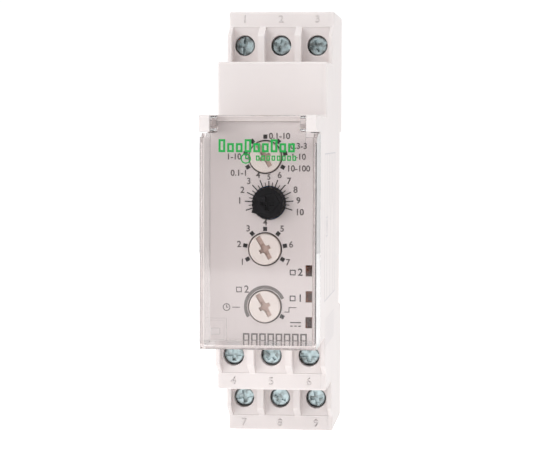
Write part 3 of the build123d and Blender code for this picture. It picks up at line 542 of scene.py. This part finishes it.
def step_sign(art, x, z):
    """A line that steps up to the right."""
    rise, foot, shelf = 0.9 * MM, 0.9 * MM, 1.5 * MM
    art.bar(x, z - rise / 2, foot, FINE_LINE)
    art.bar(x + foot / 2, z, FINE_LINE, rise + FINE_LINE)
    art.bar(x + (foot + shelf) / 2, z + rise / 2, shelf, FINE_LINE)


def supply_sign(art, x, z):
    """A full line over a dashed one."""
    apart, stroke = 0.7 * MM, 0.2 * MM
    dash, pitch = 0.5 * MM, 0.8 * MM
    art.bar(x, z + apart / 2, 2 * pitch + dash, stroke)
    for step in (-1, 0, 1):
        art.bar(x + step * pitch, z - apart / 2, dash, stroke)


# ---- faceplate ----

PRINT_THICK = 0.02 * MM
SELECTOR_STOPS = (210, 170, 130, 90, 50, 10, -30)
MARK_LENGTH, MARK_WIDTH = 0.85 * MM, 0.8 * MM
SELECTOR_GAP = 0.45 * MM        # from a knob's rim to its marks
BAND_GAP = 0.4 * MM
BAND_WIDTH = 0.65 * MM
BAND_ENDS = (212, 24)
TIME_NUMBERS = 10
TIME_START, TIME_STEP = 198.0, -21.5
CROWDED_NUMBER = 5              # straight above the dial, where the selector leaves less room
TICK_GAP = 0.1 * MM
LONG_TICK, SHORT_TICK, HALF_TICK = 1.7 * MM, 1.2 * MM, 0.95 * MM
TICK_WIDTH = 0.22 * MM


def faceplate_print():
    """Scales, numbers and pictograms on the faceplate."""
    dark = Artwork("faceplate_marks", FACE_Y, PRINT_THICK, INK_DARK, "casing", "black_knob")
    ink = Artwork("faceplate_numbers", FACE_Y, PRINT_THICK, INK, "casing", "black_knob")
    soft = Artwork("faceplate_band", FACE_Y, PRINT_THICK, INK_SOFT, "casing", "black_knob")
    selector_marks(dark, "range_knob")
    selector_marks(dark, "function_knob")
    time_scale(ink, dark)
    range_numbers(ink)
    function_numbers(ink)
    output_signs(soft, dark, ink)
    lamp_signs(dark)
    foot_line(ink)
    for art in (dark, ink, soft):
        art.finish()


def selector_marks(art, node):
    """Seven small squares round a selector."""
    centre = middle(node)
    start = KNOB_RADIUS + SELECTOR_GAP
    for angle in SELECTOR_STOPS:
        art.ray(centre.x, centre.z, angle, start, start + MARK_LENGTH, MARK_WIDTH)


def time_scale(ink, dark):
    """Ticks and the numbers 1 to 10 round the time dial."""
    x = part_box("time_knob")[1].x - KNOB_RADIUS
    z = middle("time_potentiometer").z
    start = KNOB_RADIUS + TICK_GAP
    for number in range(TIME_NUMBERS + 1):
        angle = TIME_START + TIME_STEP * number
        tick = SHORT_TICK if number == CROWDED_NUMBER else LONG_TICK
        dark.ray(x, z, angle, start, KNOB_RADIUS + tick, TICK_WIDTH)
        if number < TIME_NUMBERS:
            dark.ray(x, z, angle + TIME_STEP / 2, start, KNOB_RADIUS + HALF_TICK, FINE_LINE)
        if number:
            time_number(ink, x, z, number, angle, KNOB_RADIUS + tick)


def time_number(ink, x, z, number, angle, reach):
    """A number just beyond its tick: the widest further out, the crowded one closer in and smaller."""
    height, gap = 1.2 * MM, 1.0 * MM
    if number == CROWDED_NUMBER:
        height, gap = 1.0 * MM, 0.7 * MM
    if number == TIME_NUMBERS:
        gap = 1.5 * MM
    ink.text(str(number), *on_circle(x, z, reach + gap, angle), height)


def range_numbers(ink):
    """Number ranges beside the range selector, each at its own place in millimetres from the centre."""
    centre = middle("range_knob")
    labels = (
        ("0.1-10", 0.7, 4.05, "LEFT"),
        ("0.3-3", 4.9, 2.1, "LEFT"),
        ("1-10", 5.0, 0.0, "LEFT"),
        ("10-100", 4.2, -2.3, "LEFT"),
        ("1-10", -4.7, 0.0, "RIGHT"),
        ("0.1-1", -3.5, -3.2, "RIGHT"),
    )
    for words, right, up, align in labels:
        ink.text(words, centre.x + right * MM, centre.z + up * MM, height=1.15 * MM, align=align)


def function_numbers(ink):
    """Function numbers round the function selector."""
    centre = middle("function_knob")
    reach, height = 5.2 * MM, 1.2 * MM
    for number, angle in enumerate(SELECTOR_STOPS, start=1):
        ink.text(str(number), *on_circle(centre.x, centre.z, reach, angle), height)


def output_signs(soft, dark, ink):
    """The grey band and end mark round the output selector, with plain signs for its two settings."""
    centre = middle("output_knob")
    inner = KNOB_RADIUS + BAND_GAP
    soft.arc(centre.x, centre.z, inner, inner + BAND_WIDTH, *BAND_ENDS)
    dark.ray(centre.x, centre.z, SELECTOR_STOPS[-1], inner, inner + MARK_LENGTH, MARK_WIDTH)
    relay_sign(ink, centre.x - 4.4 * MM, centre.z + 3.3 * MM, "2")
    below = centre.z - 0.2 * MM
    clock_sign(ink, centre.x - 7.6 * MM, below, radius=0.75 * MM, stroke=FINE_LINE)
    ink.bar(centre.x - 5.7 * MM, below, width=1.5 * MM, height=FINE_LINE)
    step_sign(ink, centre.x + 4.3 * MM, centre.z - 0.6 * MM)


def lamp_places():
    """Centres of the three lamp windows, top to bottom."""
    low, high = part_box("light_guides")
    half = LAMP_HEIGHT / 2
    x = (low.x + high.x) / 2
    return [(x, high.z - half), (x, (low.z + high.z) / 2), (x, low.z + half)]


def lamp_signs(ink):
    """Numbered coils for the two output lamps and a supply sign for the third."""
    upper, lower, foot = lamp_places()
    drop = 0.35 * MM
    for (x, z), number in ((upper, "2"), (lower, "1")):
        relay_sign(ink, x - 2.45 * MM, z - drop, number)
    x, z = foot
    supply_sign(ink, x - 2.6 * MM, z - drop)


def foot_line(ink):
    """A row of plain outline squares along the faceplate's foot."""
    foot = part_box("faceplate")[0].z
    start = middle("output_knob").x - 3.7 * MM
    ink.frame_row(
        start, foot + 0.9 * MM, count=8, pitch=1.62 * MM, width=1.3 * MM, height=1.6 * MM, stroke=0.3 * MM
    )


# ---- marks on the cover and the housing ----

MOULDED_RISE = 0.05 * MM
TERMINAL_ROWS = (("top", 5.6 * MM), ("middle", -5.35 * MM), ("bottom", -5.45 * MM))
NUMBER_HEIGHT = 1.55 * MM
SIDE_LINE = 0.22 * MM


def cover_mark():
    """Plain green blocks with a clock sign, printed on the cover."""
    art = Artwork("cover_mark", COVER_Y, PRINT_THICK, INK_GREEN, "front_cover", "clear_cover")
    first, pitch, base = -6.9 * MM, 1.67 * MM, 15.4 * MM
    for index in range(9):
        tall = 1.75 * MM if index % 3 else 2.5 * MM
        art.frame(first + index * pitch, base + tall / 2, width=1.3 * MM, height=tall, stroke=0.42 * MM)
    clock_sign(art, -2.3 * MM, 14.2 * MM, radius=1.0 * MM, stroke=0.26 * MM)
    art.frame_row(
        0.0, 14.3 * MM, count=8, pitch=1.0 * MM, width=0.72 * MM, height=1.0 * MM, stroke=0.24 * MM
    )
    art.finish()


def terminal_numbers():
    """Small raised numbers moulded on the strip beside each screw, coloured a shade darker than the housing
    as painted shade.
    """
    number = 1
    for row, offset in TERMINAL_ROWS:
        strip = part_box(f"{row}_screw_1")[0].y - STRIP_TO_HEAD
        art = Artwork(f"{row}_numbers", strip, MOULDED_RISE, MARK_PAINTED_SHADE, "casing", "housing")
        for index in (1, 2, 3):
            centre = middle(f"{row}_screw_{index}")
            art.text(str(number), centre.x, centre.z + offset, NUMBER_HEIGHT)
            number += 1
        art.finish()


def side_diagram():
    """A faint plain circuit drawing on the side cover: a coil, two changeover contacts and ruled lines."""
    art = Artwork("side_diagram", SIDE_X, PRINT_THICK, INK_PALE, "casing", "housing", TO_RIGHT)
    y, half, pitch = -30.0 * MM, 15.0 * MM, 9.0 * MM
    art.frame(y, 0.0, width=2 * half, height=2 * half, stroke=SIDE_LINE)
    coil_drawing(art, y - pitch, half)
    contact_drawing(art, y, half)
    contact_drawing(art, y + pitch, half)
    first, spacing = -19.0 * MM, 0.65 * MM
    for index in range(9):
        art.bar(y, first - index * spacing, width=26.0 * MM, height=0.12 * MM)
    art.finish()


def coil_drawing(art, y, half):
    """A timed coil with a lead up and a lead down."""
    width, height = 5.0 * MM, 4.0 * MM
    lead = half - height / 2
    art.frame(y, 0.0, width, height, SIDE_LINE)
    for side in (-1, 1):
        art.bar(y, side * (half - lead / 2), SIDE_LINE, lead)
    clock_sign(art, y, 0.0, radius=1.4 * MM, stroke=SIDE_LINE)


def contact_drawing(art, y, half):
    """A changeover contact: one lead from below, a leaning blade, and two leads from above."""
    gap, apart = 4.0 * MM, 2.4 * MM
    lead = half - gap
    lead_middle = half - lead / 2
    art.bar(y, -lead_middle, SIDE_LINE, lead)
    art.bar(y + apart / 2, 0.0, SIDE_LINE, height=8.5 * MM, angle=-16)
    for side in (-1, 1):
        art.bar(y + side * apart, lead_middle, SIDE_LINE, lead)


# ---- latch spring ----

COIL_WIRE = 0.22 * MM           # radius of the wire
COIL_TURNS = 7
COIL_STEPS = 28                 # to a turn
WIRE_SIDES = 12


def coil_rings(bm, low, high):
    """Rings of corners round the wire, from the coil's foot to its top."""
    middle_x, middle_y = (low.x + high.x) / 2, (low.y + high.y) / 2
    rise = high.z - low.z - 2 * COIL_WIRE
    radius = (high.x - low.x) / 2 - COIL_WIRE
    rings = []
    for index in range(COIL_TURNS * COIL_STEPS + 1):
        turn = 2 * math.pi * index / COIL_STEPS
        outward = Vector((math.cos(turn), math.sin(turn), 0))
        height = low.z + COIL_WIRE + rise * index / (COIL_TURNS * COIL_STEPS)
        centre = Vector((middle_x, middle_y, height)) + outward * radius
        ring = []
        for side in range(WIRE_SIDES):
            lean = 2 * math.pi * side / WIRE_SIDES
            lift = Vector((0, 0, COIL_WIRE * math.sin(lean)))
            ring.append(bm.verts.new(centre + outward * COIL_WIRE * math.cos(lean) + lift))
        rings.append(ring)
    return rings


def latch_coil():
    """The latch's coil spring at its resting length, in place of the frame's spring part; on the relay it
    shortens as the latch is pulled down.
    """
    low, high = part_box("latch_spring")
    bm = bmesh.new()
    rings = coil_rings(bm, low, high)
    for ring, following in zip(rings, rings[1:]):
        for side in range(WIRE_SIDES):
            after = (side + 1) % WIRE_SIDES
            face = bm.faces.new((ring[side], ring[after], following[after], following[side]))
            face.smooth = True
    bm.faces.new(rings[0])
    bm.faces.new(rings[-1])
    bmesh.ops.recalc_face_normals(bm, faces=bm.faces)
    coil = add_piece("latch_coil", bm, MATERIALS["spring_steel"])
    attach(coil, "casing")
    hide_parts("latch_spring")
    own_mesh(coil)


faceplate_print()
cover_mark()
terminal_numbers()
side_diagram()
latch_coil()


# ---- stage ----

TABLE_REACH = 0.6
TABLE_GLOW = (0.72, 0.95)       # as lit and reflected, and as seen directly
SEEN_LEVEL = 1.05               # of the surroundings, seen directly
AIM = (0, -0.03, 0)
WORLD_SPAN = {                  # from in front of the object to beside it, and the strength there
    "From Min": -0.97,
    "From Max": 0.0,
    "To Min": 0.10,
    "To Max": 0.84,
}


def add_stage():
    """A pale table top under the object."""
    bm = bmesh.new()
    bm.faces.new([bm.verts.new((x * TABLE_REACH, y * TABLE_REACH, BOTTOM_Z)) for x, y in CORNERS])
    shader = Shader("table_paper")
    shader.set(Base_Color=(0.5, 0.5, 0.5, 1), Roughness=0.9, Emission_Color=(1, 1, 1, 1))
    seen = shader.add("ShaderNodeLightPath").outputs["Is Camera Ray"]
    shader.feed(Emission_Strength=shader.spread(seen, *TABLE_GLOW))
    table = add_piece("table_top", bm, shader.material)


def softbox(name, place, size, power):
    """A rectangular area light aimed at the object."""
    data = bpy.data.lights.new(name, "AREA")
    data.shape = "RECTANGLE"
    data.size, data.size_y = size
    data.energy = power
    lamp = bpy.data.objects.new(name, data)
    lamp.location = place
    direction = Vector(AIM) - Vector(place)
    lamp.rotation_euler = direction.to_track_quat("-Z", "Y").to_euler()
    bpy.context.scene.collection.objects.link(lamp)


def surroundings_level(tree):
    """Strength of the surroundings as light: dim in front of the object and bright behind it."""
    direction = tree.nodes.new("ShaderNodeTexCoord")
    split = tree.nodes.new("ShaderNodeSeparateXYZ")
    tree.links.new(direction.outputs["Generated"], split.inputs["Vector"])
    level = tree.nodes.new("ShaderNodeMapRange")
    level.interpolation_type = "SMOOTHSTEP"
    for socket, value in WORLD_SPAN.items():
        level.inputs[socket].default_value = value
    tree.links.new(split.outputs["Y"], level.inputs["Value"])
    return level.outputs["Result"]


def add_world():
    """White surroundings as seen directly; for light and reflections, bright behind and dim in front."""
    world = bpy.data.worlds.new("studio")
    world.use_nodes = True
    tree = world.node_tree
    lighting = tree.nodes["Background"]
    tree.links.new(surroundings_level(tree), lighting.inputs["Strength"])
    seen = tree.nodes.new("ShaderNodeBackground")
    seen.inputs["Strength"].default_value = SEEN_LEVEL
    for background in (lighting, seen):
        background.inputs["Color"].default_value = (1, 1, 1, 1)
    camera_ray = tree.nodes.new("ShaderNodeLightPath").outputs["Is Camera Ray"]
    both = mix_shaders(tree, camera_ray, lighting.outputs["Background"], seen.outputs["Background"])
    tree.links.new(both, tree.nodes["World Output"].inputs["Surface"])
    bpy.context.scene.world = world


def light_scene():
    """Soft lights from the left, the front, the right and above."""
    add_world()
    softbox("key", place=(-0.70, -0.75, 0.2), size=(0.8, 0.8), power=3.4)
    softbox("front", place=(-0.33, -0.85, 0.05), size=(0.3, 0.18), power=0.8)
    softbox("fill", place=(0.8, -0.45, 0.1), size=(0.8, 1.0), power=1.6)
    softbox("top", place=(0.0, -0.35, 0.85), size=(0.9, 0.6), power=3.0)
    bpy.context.scene.view_settings.view_transform = "Standard"


add_stage()
light_scene()
